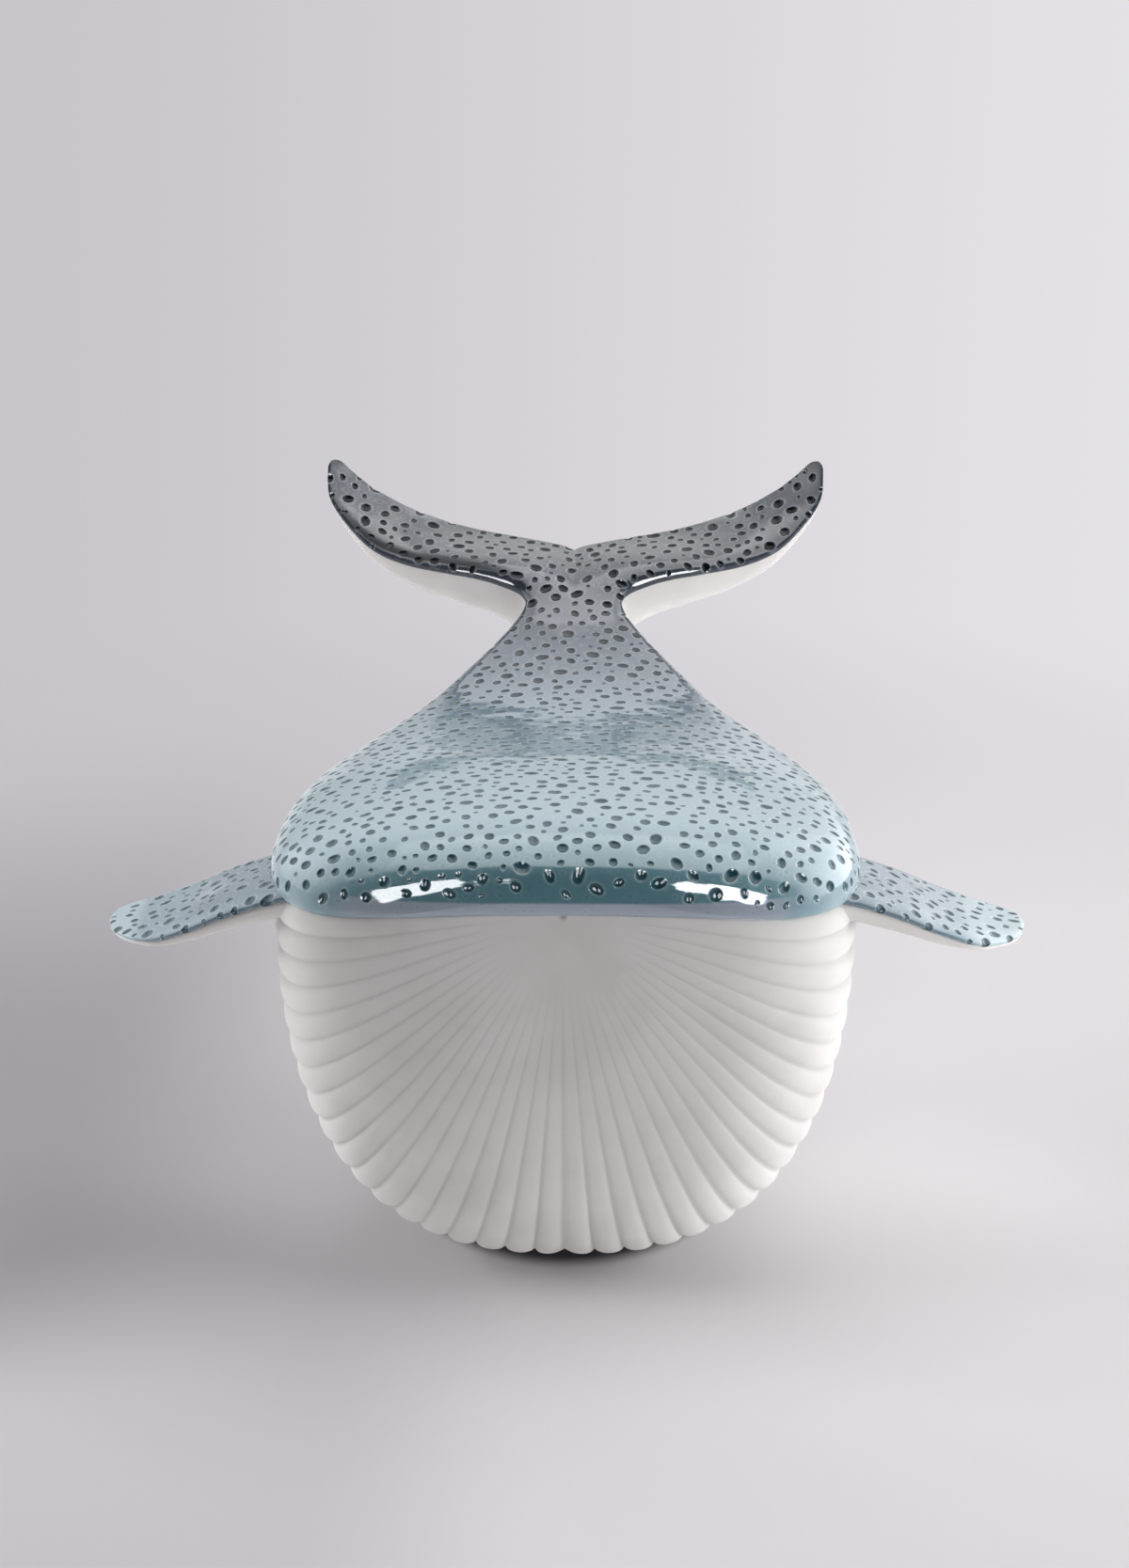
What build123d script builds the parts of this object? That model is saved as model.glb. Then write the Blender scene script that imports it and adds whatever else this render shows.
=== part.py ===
from build123d import *
import math
import os

os.makedirs("parts", exist_ok=True)

# A whale figurine in glazed and biscuit porcelain, resting on a foot under its ribbed belly.
# Head towards -Y, tail towards +Y, +Z up, origin on the floor under the middle.

# Body, from the middle of the lip to the joint of the tail
body_length = 292.0
head_width = 222.0
lip_height = 162.0
crown_rise = 26.0
stock_seam_rise = 25.0
foot_height = 3.5
nose_reach = 75.0
crown_reach = 42.0
lip_arch_reach = 5.0
nose_squareness = 3.5
crown_squareness = 2.6
back_roundness = 2.3
belly_roundness = 2.62

# Rim of the glazed castings, turned under all along the seam
rim_height = 4.0
rim_inset = 2.4
seam_gap = 0.3

# Ribs of the throat pouch and the belly
rib_count = 36
rib_depth = 2.3
pouch_setback = 2.6
pouch_inset = 0.8

# Walls of the two hollow castings, foot and vent
wall = 5.0
cavity_length = 255.0
foot_length = 88.0
foot_width = 76.0
foot_centre = 120.0
foot_seat = 22.0
vent_diameter = 9.0
overrun = 2.0

# Flippers
flipper_span = 351.0
flipper_root_width = 191.0
flipper_root_lead = 26.0
flipper_root_drop = 6.0
flipper_sweep = 58.0
flipper_chord = 58.0
flipper_droop = 28.0
flipper_top_thickness = 4.6
flipper_under_thickness = 9.2
flipper_rim = 1.8
flipper_edge = 1.2

# Tail flukes
fluke_span = 221.0
fluke_reach = 70.0
fluke_rise = 57.0
fluke_edge = 1.1

# The body's outline from the lip to the tail joint, at shares of its length
station_shares = [0.0, 0.14, 0.26, 0.38, 0.51, 0.65, 0.77, 0.87, 0.95, 1.0]
width_shares = [1.0, 1.0, 1.0, 0.978, 0.902, 0.741, 0.556, 0.404, 0.276, 0.205]
seam_shares = [-0.30, -0.30, -0.32, -0.32, -0.28, -0.14, 0.10, 0.44, 0.78, 1.0]
crest_shares = [1.0, 1.0, 0.98, 0.885, 0.73, 0.635, 0.67, 0.865, 1.115, 1.346]
keel_shares = [0.0, 0.0, 0.0, 0.006, 0.053, 0.186, 0.37, 0.57, 0.76, 0.89]
nose_place_shares = [0.0003, 0.003, 0.012, 0.035, 0.08, 0.15, 0.26, 0.42, 0.62, 0.82, 1.0]
aft_place_shares = [0.32, 0.39, 0.46, 0.53, 0.60, 0.67, 0.74, 0.81, 0.87, 0.93, 1.0]

# Half of the flukes, from the joint to the tip: leading edge, far edge, thickness
blade_shares = [0.0, 0.10, 0.20, 0.30, 0.38, 0.45, 0.60, 0.72, 0.84, 0.92, 1.0]
lead_x_shares = [0.0, -0.021, 0.018, 0.141, 0.255, 0.375, 0.597, 0.770, 0.918, 0.990, 1.0]
lead_y_shares = [0.0, 0.086, 0.157, 0.207, 0.248, 0.289, 0.407, 0.529, 0.686, 0.785, 0.890]
lead_z_shares = [0.0, 0.088, 0.180, 0.250, 0.285, 0.305, 0.338, 0.420, 0.605, 0.765, 0.945]
far_x_shares = [-0.020, -0.020, -0.022, -0.022, 0.018, 0.130, 0.434, 0.650, 0.812, 0.893, 0.935]
far_y_shares = [0.0, 0.186, 0.371, 0.570, 0.690, 0.750, 0.846, 0.918, 0.975, 0.990, 0.968]
far_z_shares = [0.0, 0.112, 0.218, 0.318, 0.372, 0.412, 0.496, 0.612, 0.765, 0.885, 0.975]
top_shares = [1.0, 0.96, 0.88, 0.78, 0.71, 0.64, 0.52, 0.44, 0.36, 0.29, 0.15]
under_shares = [1.0, 0.84, 0.675, 0.555, 0.48, 0.43, 0.33, 0.245, 0.165, 0.11, 0.04]
rim_shares = [1.0, 0.90, 0.80, 0.72, 0.67, 0.62, 0.54, 0.47, 0.40, 0.33, 0.15]
wing_shares = [0.0, 0.12, 0.38, 0.72, 0.92, 0.99, 1.0, 1.0, 1.0, 1.0, 1.0]

# One flipper, from its root to the tip
span_shares = [0.0, 0.169, 0.306, 0.438, 0.581, 0.744, 0.869, 0.950, 0.985, 1.0]
sweep_shares = [0.0, 0.069, 0.135, 0.197, 0.270, 0.345, 0.500, 0.650, 0.770, 0.870]
chord_shares = [1.0, 1.0, 1.0, 1.0, 0.985, 0.945, 0.765, 0.545, 0.360, 0.180]
droop_shares = [0.0, 0.136, 0.296, 0.471, 0.686, 0.875, 0.968, 0.996, 1.0, 1.0]
flipper_top_shares = [1.0, 1.0, 0.96, 0.90, 0.82, 0.70, 0.56, 0.40, 0.30, 0.16]
flipper_under_shares = [1.0, 1.0, 0.95, 0.86, 0.70, 0.47, 0.33, 0.22, 0.15, 0.07]

outline_steps = 12
chord_steps = 12
fluke_sections = 16
turn = math.sqrt(0.5)
vane_gain = 16 / math.sqrt(27)


def along(places, values, place):
    """Smooth value at a place, through a table of values."""
    last = len(places) - 1
    place = min(max(place, places[0]), places[last])
    index = 0
    while index < last - 1 and place > places[index + 1]:
        index += 1

    def slope(knot):
        before = max(knot - 1, 0)
        after = min(knot + 1, last)
        return (values[after] - values[before]) / (places[after] - places[before])

    step = places[index + 1] - places[index]
    t = (place - places[index]) / step
    start = (1 + 2 * t) * (1 - t) ** 2 * values[index] + t * (1 - t) ** 2 * step * slope(index)
    end = t * t * (3 - 2 * t) * values[index + 1] + t * t * (t - 1) * step * slope(index + 1)
    return start + end


def rounding(distance, reach, squareness):
    """Growth of a rounded nose, 0 at its tip and 1 at the end of its reach."""
    if distance >= reach:
        return 1.0
    return (1 - (1 - max(distance, 0) / reach) ** squareness) ** (1 / squareness)


def oval(angle, roundness):
    """Point of a unit superellipse, across and up."""
    across = math.copysign(abs(math.cos(angle)) ** (2 / roundness), math.cos(angle))
    return across, abs(math.sin(angle)) ** (2 / roundness)


def even_angles(half, depth, roundness, count):
    """Angles that part half a superellipse into ribs of one width."""
    fine = count * outline_steps
    length = [0.0]
    for step in range(fine):
        x0, z0 = oval(math.pi * step / fine, roundness)
        x1, z1 = oval(math.pi * (step + 1) / fine, roundness)
        length.append(length[-1] + math.hypot((x1 - x0) * half, (z1 - z0) * depth))
    angles = []
    for step in range(fine // 2):
        if length[step] >= length[-1] * len(angles) / count:
            angles.append(math.pi * step / fine)
    return angles + [math.pi / 2] + [math.pi - angle for angle in reversed(angles)]


def half_width(y):
    return head_width / 2 * along(station_shares, width_shares, y / body_length)


def seam_level(y):
    return stock_seam_rise * along(station_shares, seam_shares, y / body_length)


def seam_height(y):
    """Height of the seam, which rises to the middle of the lip."""
    return lip_height + seam_level(y) * (1 - math.exp(-y / lip_arch_reach))


def back_height(y):
    return crown_rise * along(station_shares, crest_shares, y / body_length) - seam_level(y)


def belly_depth(y):
    keel = foot_height + lip_height * along(station_shares, keel_shares, y / body_length)
    return lip_height + seam_level(y) - keel


def pouch_half(y):
    return half_width(y) - rib_depth - pouch_inset


def pouch_depth(y):
    return belly_depth(y) - rib_depth - seam_gap


def section_places(setback, end):
    """Places of the cross sections, closest where the nose rounds off."""
    nose = [setback + share * (nose_reach - setback) for share in nose_place_shares]
    aft = [share * body_length for share in aft_place_shares]
    return nose + [y for y in aft if y < end] + [end]


def back_wire(y):
    """Cross section of the back: crown, turned-under rim and seam."""
    half = half_width(y) * rounding(y, nose_reach, nose_squareness)
    rise = (back_height(y) - rim_height) * rounding(y, crown_reach, crown_squareness)
    turned = rounding(y, pouch_setback, 2)
    widest = seam_height(y) + rim_height
    edge = widest - rim_height * turned
    inner = half - rim_inset * turned
    bulge = half - rim_inset * turned * (1 - turn)
    bend = widest - rim_height * turned * turn
    crown = []
    for step in range(outline_steps + 1):
        across, up = oval(math.pi * step / outline_steps, back_roundness)
        crown.append((half * across, y, widest + rise * up))
    return Wire([
        Edge.make_spline(crown),
        Edge.make_three_point_arc(crown[-1], (-bulge, y, bend), (-inner, y, edge)),
        Edge.make_line((-inner, y, edge), (inner, y, edge)),
        Edge.make_three_point_arc((inner, y, edge), (bulge, y, bend), crown[0]),
    ])


def belly_wire(y, angles):
    """Cross section of the belly: a chain of ribs below the seam."""
    grown = rounding(y - pouch_setback, nose_reach - pouch_setback, nose_squareness)
    half = pouch_half(y) * grown
    depth = pouch_depth(y) * grown
    top = seam_height(y) - seam_gap
    ridge = rib_depth * half / pouch_half(0)

    def spot(angle, out):
        across, down = oval(angle, belly_roundness)
        return half * across + out * math.cos(angle), y, top - depth * down - out * math.sin(angle)

    edges = []
    for start, end in zip(angles, angles[1:]):
        middle = (start + end) / 2
        edges.append(Edge.make_three_point_arc(spot(start, 0), spot(middle, ridge), spot(end, 0)))
    edges.append(Edge.make_line(spot(angles[-1], 0), spot(angles[0], 0)))
    return Wire(edges)


def cavity_wire(y, half, height, roundness, side):
    """Cross section of a cavity, open past the seam; side is 1 above the seam and -1 below."""
    seam = seam_height(y)
    curve = []
    for step in range(outline_steps + 1):
        across, up = oval(math.pi * step / outline_steps, roundness)
        curve.append((half * across, y, seam + side * height * up))
    right = (half, y, seam - side * overrun)
    left = (-half, y, seam - side * overrun)
    return Wire([
        Edge.make_spline(curve),
        Edge.make_line(curve[-1], left),
        Edge.make_line(left, right),
        Edge.make_line(right, curve[0]),
    ])


def core_wire(y):
    """Cross section of the band inside the seam, from rim to rim."""
    half = (half_width(y) - rim_inset - pouch_inset) * rounding(y - rim_inset, nose_reach - rim_inset, nose_squareness)
    seam = seam_height(y)
    corners = [(half, y, seam + overrun), (-half, y, seam + overrun), (-half, y, seam - overrun), (half, y, seam - overrun)]
    return Wire([Edge.make_line(a, b) for a, b in zip(corners, corners[1:] + corners[:1])])


def back_form():
    return Solid.make_loft([back_wire(y) for y in section_places(0, body_length)])


def belly_form():
    angles = even_angles(pouch_half(0), pouch_depth(0), belly_roundness, rib_count)
    return Solid.make_loft([belly_wire(y, angles) for y in section_places(pouch_setback, body_length)])


def back_cavity():
    wires = []
    for y in section_places(wall, cavity_length):
        inward = rounding(y - wall, nose_reach - wall, nose_squareness)
        upward = rounding(y - wall, crown_reach - wall, crown_squareness)
        height = rim_height + (back_height(y) - rim_height - wall) * upward
        wires.append(cavity_wire(y, (half_width(y) - wall) * inward, height, back_roundness, 1))
    return Solid.make_loft(wires)


def belly_cavity():
    start = pouch_setback + wall
    wires = []
    for y in section_places(start, cavity_length):
        inward = rounding(y - start, nose_reach - start, nose_squareness)
        half = (pouch_half(y) - wall) * inward
        depth = (pouch_depth(y) - wall) * inward
        wires.append(cavity_wire(y, half, depth, belly_roundness, -1))
    return Solid.make_loft(wires)


def make_back_shell(form):
    return form - back_cavity()


def make_belly_shell(form):
    """Ribbed pouch and belly on a low oval foot, with the vent of the hollow casting."""
    foot = extrude(Plane.XY * Ellipse(foot_width / 2, foot_length / 2), foot_seat)
    vent = extrude(Plane.XY * Circle(vent_diameter / 2), foot_seat + overrun)
    place = Pos(0, foot_centre, 0)
    return form + place * foot - belly_cavity() - place * vent


def thickness(share, wing, depth, edge):
    """Height of a blade's skin at a share of its chord, from stock (0) to wing (1)."""
    stock = (1 - (1 - share) ** back_roundness) ** (1 / back_roundness)
    vane = math.sqrt(share) * (1 - share) ** 1.5 * vane_gain
    return depth * ((1 - wing) * stock + wing * vane) + wing * share * edge


def blade_wire(lead, far, side, depth, rim, inset, wing, edge):
    """Section of one half of a blade; side is 1 above its parting line and -1 below."""
    run = [b - a for a, b in zip(lead, far)]
    chord = math.hypot(*run)
    part = side * seam_gap / 2
    base = [a + inset * d / chord for a, d in zip(lead, run)]
    start = lead if side > 0 else base
    curve = []
    for step in range(chord_steps + 1):
        share = (step / chord_steps) ** 2
        lift = rim * (1 - wing * share) + thickness(share, wing, depth - rim, edge)
        x, y, z = (a + share * (b - a) for a, b in zip(start, far))
        curve.append((x, y, z + part + side * lift))
    inner = (base[0], base[1], base[2] + part)
    corner = (far[0], far[1], far[2] + part)
    edges = [Edge.make_spline(curve), Edge.make_line(curve[-1], corner), Edge.make_line(corner, inner)]
    if side > 0:
        bend = [a + inset * (1 - turn) * d / chord for a, d in zip(lead, run)]
        bend[2] += part + rim * (1 - turn)
        edges.append(Edge.make_three_point_arc(inner, tuple(bend), curve[0]))
    return Wire(edges)


def make_flukes(side):
    """Both flukes, above (side 1) or below (side -1) the parting line."""
    stock = half_width(body_length)
    root = body_length + seam_gap
    seam = seam_height(body_length)
    wires = []
    for step in range(fluke_sections + 1):
        share = step / fluke_sections

        def at(shares):
            return along(blade_shares, shares, share)

        lead = (
            stock + (fluke_span / 2 - stock) * at(lead_x_shares),
            root + fluke_reach * at(lead_y_shares),
            seam + fluke_rise * at(lead_z_shares),
        )
        far = (
            fluke_span / 2 * at(far_x_shares),
            root + fluke_reach * at(far_y_shares),
            seam + fluke_rise * at(far_z_shares),
        )
        depth = back_height(body_length) * at(top_shares)
        rim = rim_height * at(rim_shares)
        if side < 0:
            depth = belly_depth(body_length) * at(under_shares)
            rim = 0
        inset = rim_inset * at(rim_shares)
        edge = fluke_edge * min(1, 2 * at(rim_shares))
        wires.append(blade_wire(lead, far, side, depth, rim, inset, at(wing_shares), edge))
    half = Solid.make_loft(wires)
    room = fluke_span
    half = half & Pos(room / 2, root, seam) * Box(room, room * 2, room * 2)
    return half + mirror(half, Plane.YZ)


def make_flipper(side):
    """The left flipper, above or below its parting line, with its root inside the body."""
    reach = (flipper_span - flipper_root_width) / 2
    wires = []
    for i, chord in enumerate(chord_shares):
        x = flipper_root_width / 2 + reach * span_shares[i]
        y = flipper_root_lead + flipper_sweep * sweep_shares[i]
        z = lip_height - flipper_root_drop - flipper_droop * droop_shares[i]
        lead = (x, y, z)
        far = (x, y + flipper_chord * chord, z)
        depth = flipper_top_thickness * flipper_top_shares[i]
        rim = flipper_rim * flipper_top_shares[i]
        inset = rim
        if side < 0:
            depth = flipper_under_thickness * flipper_under_shares[i]
            rim = 0
        edge = flipper_edge * flipper_top_shares[i]
        wires.append(blade_wire(lead, far, side, depth, rim, inset, 1.0, edge))
    return Solid.make_loft(wires)


def seated(blade, body):
    """A flipper cut to lie against the body's side."""
    for piece in body:
        blade = blade - piece
    return max(blade.solids(), key=lambda solid: solid.volume)


back = back_form()
belly = belly_form()
core = Solid.make_loft([core_wire(y) for y in section_places(rim_inset, body_length)])
body = [back, belly, core]
flipper_top = make_flipper(1)
flipper_under = make_flipper(-1)

pieces = {
    "back_shell": make_back_shell(back),
    "belly_shell": make_belly_shell(belly),
    "left_flipper_top": seated(flipper_top, body),
    "left_flipper_under": seated(flipper_under, body),
    "right_flipper_top": seated(mirror(flipper_top, Plane.YZ), body),
    "right_flipper_under": seated(mirror(flipper_under, Plane.YZ), body),
    "flukes_top": make_flukes(1),
    "flukes_under": make_flukes(-1),
}

# The finished pieces stand on the floor, centred on the origin
box = Compound(list(pieces.values())).bounding_box()
place = Pos(0, -(box.min.Y + box.max.Y) / 2, -box.min.Z)
print("shift to centre", place.position)
for name, piece in pieces.items():
    export_step(place * piece, f"parts/{name}.step")
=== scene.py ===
import math
import random

import bmesh
import bpy
import numpy as np
from mathutils import Matrix, Quaternion, Vector, kdtree


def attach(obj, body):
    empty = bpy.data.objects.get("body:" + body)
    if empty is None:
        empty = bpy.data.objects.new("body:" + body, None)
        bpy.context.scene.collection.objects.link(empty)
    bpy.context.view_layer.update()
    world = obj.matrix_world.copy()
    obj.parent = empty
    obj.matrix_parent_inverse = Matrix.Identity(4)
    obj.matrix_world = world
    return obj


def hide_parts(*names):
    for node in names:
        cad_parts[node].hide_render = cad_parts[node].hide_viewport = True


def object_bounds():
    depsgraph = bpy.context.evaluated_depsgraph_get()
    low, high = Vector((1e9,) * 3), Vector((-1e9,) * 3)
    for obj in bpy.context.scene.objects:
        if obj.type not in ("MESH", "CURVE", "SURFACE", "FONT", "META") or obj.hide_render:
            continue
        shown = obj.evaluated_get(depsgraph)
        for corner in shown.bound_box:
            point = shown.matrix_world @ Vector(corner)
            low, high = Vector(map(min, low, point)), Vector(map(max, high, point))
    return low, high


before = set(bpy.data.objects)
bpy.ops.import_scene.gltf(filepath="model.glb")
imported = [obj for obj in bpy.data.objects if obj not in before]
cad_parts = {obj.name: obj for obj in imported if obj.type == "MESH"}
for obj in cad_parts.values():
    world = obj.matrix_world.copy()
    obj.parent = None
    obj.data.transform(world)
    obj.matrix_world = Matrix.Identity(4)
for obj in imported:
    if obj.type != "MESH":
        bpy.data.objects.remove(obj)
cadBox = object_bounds()
print("packed model loaded:", len(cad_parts), "nodes")

mm = 0.001
shiftY = cadBox[0][1] / mm               # from the lip to the middle of the figurine
weld = 1e-6                              # vertices nearer than this, in metres, are one
angleSteps, rowSteps = 4000, 3000        # samples of a curve or a skin, to space points evenly on it

# sizes of the whale in mm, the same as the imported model's
body = {
    "length": 292.0, "headWidth": 222.0, "lipHeight": 162.0, "crownRise": 26.0,
    "stockSeamRise": 25.0, "footHeight": 3.5, "noseReach": 75.0, "crownReach": 42.0,
    "lipArchReach": 5.0, "noseSquareness": 3.5, "crownSquareness": 2.6,
    "backRoundness": 2.3, "bellyRoundness": 2.62,
    # shares of the length, and at each the shares of the width, the rises and the height
    "stations": [0.0, 0.14, 0.26, 0.38, 0.51, 0.65, 0.77, 0.87, 0.95, 1.0],
    "width": [1.0, 1.0, 1.0, 0.978, 0.902, 0.741, 0.556, 0.404, 0.276, 0.205],
    "seam": [-0.30, -0.30, -0.32, -0.32, -0.28, -0.14, 0.10, 0.44, 0.78, 1.0],
    "crest": [1.0, 1.0, 0.98, 0.885, 0.73, 0.635, 0.67, 0.865, 1.115, 1.346],
    "keel": [0.0, 0.0, 0.0, 0.006, 0.053, 0.186, 0.37, 0.57, 0.76, 0.89],
}

rim = {"height": 4.0, "inset": 2.4, "turnReach": 2.6}      # rounded lower edge of the glazed half


def along(places, values, place):
    # smooth value at each place, through a table of values
    places, values = np.asarray(places), np.asarray(values)
    place = np.clip(place, places[0], places[-1])
    index = np.clip(np.searchsorted(places, place) - 1, 0, len(places) - 2)
    before = np.maximum(np.arange(len(places)) - 1, 0)
    after = np.minimum(np.arange(len(places)) + 1, len(places) - 1)
    slope = (values[after] - values[before]) / (places[after] - places[before])
    step = places[index + 1] - places[index]
    t = (place - places[index]) / step
    start = (1 + 2 * t) * (1 - t) ** 2 * values[index] + t * (1 - t) ** 2 * step * slope[index]
    end = t * t * (3 - 2 * t) * values[index + 1] + t * t * (t - 1) * step * slope[index + 1]
    return start + end


def rounding(distance, reach, squareness):
    left = 1 - np.clip(np.asarray(distance) / reach, 0, 1)
    return (1 - left ** squareness) ** (1 / squareness)


def oval(angle, roundness):
    return (np.clip(np.cos(angle), 0, 1) ** (2 / roundness),
            np.clip(np.sin(angle), 0, 1) ** (2 / roundness))


def evenAngles(half, depth, roundness, count):
    # angles of a quarter superellipse, evenly spaced along it
    fine = np.linspace(0, math.pi / 2, angleSteps)
    across, up = oval(fine, roundness)
    length = np.concatenate([[0], np.cumsum(np.hypot(np.diff(across) * half, np.diff(up) * depth))])
    return np.interp(np.linspace(0, length[-1], count), length, fine)


def table(name, y):
    return along(body["stations"], body[name], y / body["length"])


def halfWidth(y):
    return body["headWidth"] / 2 * table("width", y)


def seamLevel(y):
    return body["stockSeamRise"] * table("seam", y)


def seamHeight(y):
    return body["lipHeight"] + seamLevel(y) * (1 - np.exp(-y / body["lipArchReach"]))


def backHeight(y):
    return body["crownRise"] * table("crest", y) - seamLevel(y)


def bellyDepth(y):
    keel = body["footHeight"] + body["lipHeight"] * table("keel", y)
    return body["lipHeight"] + seamLevel(y) - keel


def stack(x, y, z):
    # rows by columns of points
    x, y, z = np.broadcast_arrays(x, y, z)
    return np.stack([x, y, z], axis=-1)


flukes = {
    "span": 221.0, "reach": 70.0, "rise": 57.0, "edge": 1.1, "gap": 0.3,
    # shares of a blade from the tail joint to its tip, and at each the shares of the sizes above,
    # of the back's and belly's heights and of the rim; a wing of 1 is a free blade
    "blade": [0.0, 0.10, 0.20, 0.30, 0.38, 0.45, 0.60, 0.72, 0.84, 0.92, 1.0],
    "leadX": [0.0, -0.021, 0.018, 0.141, 0.255, 0.375, 0.597, 0.770, 0.918, 0.990, 1.0],
    "leadY": [0.0, 0.086, 0.157, 0.207, 0.248, 0.289, 0.407, 0.529, 0.686, 0.785, 0.890],
    "leadZ": [0.0, 0.088, 0.180, 0.250, 0.285, 0.305, 0.338, 0.420, 0.605, 0.765, 0.945],
    "farX": [-0.020, -0.020, -0.022, -0.022, 0.018, 0.130, 0.434, 0.650, 0.812, 0.893, 0.935],
    "farY": [0.0, 0.186, 0.371, 0.570, 0.690, 0.750, 0.846, 0.918, 0.975, 0.990, 0.968],
    "farZ": [0.0, 0.112, 0.218, 0.318, 0.372, 0.412, 0.496, 0.612, 0.765, 0.885, 0.975],
    "top": [1.0, 0.96, 0.88, 0.78, 0.71, 0.64, 0.52, 0.44, 0.36, 0.29, 0.15],
    "under": [1.0, 0.84, 0.675, 0.555, 0.48, 0.43, 0.33, 0.245, 0.165, 0.11, 0.04],
    "rim": [1.0, 0.90, 0.80, 0.72, 0.67, 0.62, 0.54, 0.47, 0.40, 0.33, 0.15],
    "wing": [0.0, 0.12, 0.38, 0.72, 0.92, 0.99, 1.0, 1.0, 1.0, 1.0, 1.0],
}


def bladePart(name, share):
    return along(flukes["blade"], flukes[name], share)


def bladeColumn(name, share, size=1.0):
    # a blade's table as a column of sizes
    return (size * bladePart(name, share))[:, None]


def bladeFrame(share):
    # leading edge, run to the far edge and the share of it up to the middle plane
    stock = halfWidth(np.float64(body["length"]))
    root = body["length"] + flukes["gap"]
    seam = seamHeight(np.float64(body["length"]))
    lead = stack(stock + (flukes["span"] / 2 - stock) * bladePart("leadX", share),
                 root + flukes["reach"] * bladePart("leadY", share),
                 seam + flukes["rise"] * bladePart("leadZ", share))
    far = stack(flukes["span"] / 2 * bladePart("farX", share),
                root + flukes["reach"] * bladePart("farY", share),
                seam + flukes["rise"] * bladePart("farZ", share))
    run = far - lead
    clip = np.where(far[..., 0] < 0, lead[..., 0] / np.maximum(-run[..., 0], 1e-9), 1.0)
    return lead, run, clip


def skinLift(share, wing, depth, edge, roundness):
    # height of a blade's skin at a share of its chord, from the joint's section to the free wing's
    left = np.clip(1 - share, 0, 1)
    stock = (1 - left ** roundness) ** (1 / roundness)
    vane = np.sqrt(np.clip(share, 0, 1)) * left ** 1.5 * 16 / math.sqrt(27)     # 1 at its highest
    return depth * ((1 - wing) * stock + wing * vane) + wing * share * edge


up = np.array([0.0, 0.0, 1.0])


def turnedRim(lead, way, inset, height, angles):
    # columns round the rim, from its lower edge inside to its widest line
    turn = lead + inset * way * (1 - np.cos(angles))[:, None]
    return turn + (height * (1 - np.sin(angles)))[..., None] * up


def capped(rows, bulge, steps):
    # closes the last row of a blade with a rounded tip, its edges running on as they came
    last, before = rows[-1], rows[-2]
    way = last - before
    way /= np.linalg.norm(way, axis=1, keepdims=True)
    way = (way + way.mean(axis=0)) / 2
    caps = []
    for step in range(1, steps + 1):
        k = math.sin(math.pi / 2 * step / steps)
        edge = last + way * bulge * k
        centre = edge.mean(axis=0)
        caps.append(centre + (edge - centre) * math.sqrt(max(0.0, 1 - k * k)))
    return np.concatenate([rows, np.array(caps)])


def evenRows(section, start, end, count, power=1.0):
    # places of the rows, so that the fastest of four columns moves evenly
    fine = start + (end - start) * np.linspace(0, 1, rowSteps) ** power
    points = section(fine)
    probe = points[:, [0, points.shape[1] // 3, points.shape[1] * 2 // 3, -1]]
    step = np.linalg.norm(np.diff(probe, axis=0), axis=-1).max(axis=1)
    length = np.concatenate([[0], np.cumsum(step)])
    return np.interp(np.linspace(0, length[-1], count), length, fine), length[-1]


def smoothedRows(points, middle, reach, rounds):
    # takes the bend out of the rows about one row
    weight = np.exp(-((np.arange(len(points)) - middle) / reach) ** 2)[1:-1, None, None]
    points = points.copy()
    for _ in range(rounds):
        points[1:-1] += weight * ((points[2:] + points[:-2]) / 2 - points[1:-1])
    return points


def joined(bodyPoints, bladePoints, shape):
    # the body's rows and a fluke's as one skin, eased at the joint and at the fluke's rounded tip
    points = np.concatenate([bodyPoints, capped(bladePoints, shape["tip"], shape["tipSteps"])])
    points = smoothedRows(points, len(bodyPoints), shape["joinReach"], shape["joinRounds"])
    points = smoothedRows(points, len(points) - shape["tipSteps"] - 1, shape["tipReach"], shape["tipRounds"])
    points[..., 0] = np.maximum(points[..., 0], 0)
    return points


def gridMesh(points, name, grooves=None):
    # a grid whose vertices are moved to rows by columns of points, in mm
    rows, columns = points.shape[:2]
    mesh = bmesh.new()
    bmesh.ops.create_grid(mesh, x_segments=columns - 1, y_segments=rows - 1, size=0.5)
    rowLayer = mesh.verts.layers.int.new("row")
    # grooves, if given, holds the painted shade and painted dark reflection at each point
    paintedShadeLayer = mesh.verts.layers.float.new("groove") if grooves is not None else None
    for vert in mesh.verts:
        column = round((vert.co.x + 0.5) * (columns - 1))
        row = round((vert.co.y + 0.5) * (rows - 1))
        x, y, z = points[row, column]
        vert.co = (x * mm, (y + shiftY) * mm, z * mm)
        vert[rowLayer] = row
        if paintedShadeLayer:
            vert[paintedShadeLayer] = grooves[row, column]
    print("grid", name, rows, "by", columns)
    return mesh


def turnedOut(mesh):
    # faces point outwards, judged by the volume they enclose
    bmesh.ops.recalc_face_normals(mesh, faces=mesh.faces)
    if mesh.calc_volume(signed=True) < 0:
        bmesh.ops.reverse_faces(mesh, faces=mesh.faces)


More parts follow.
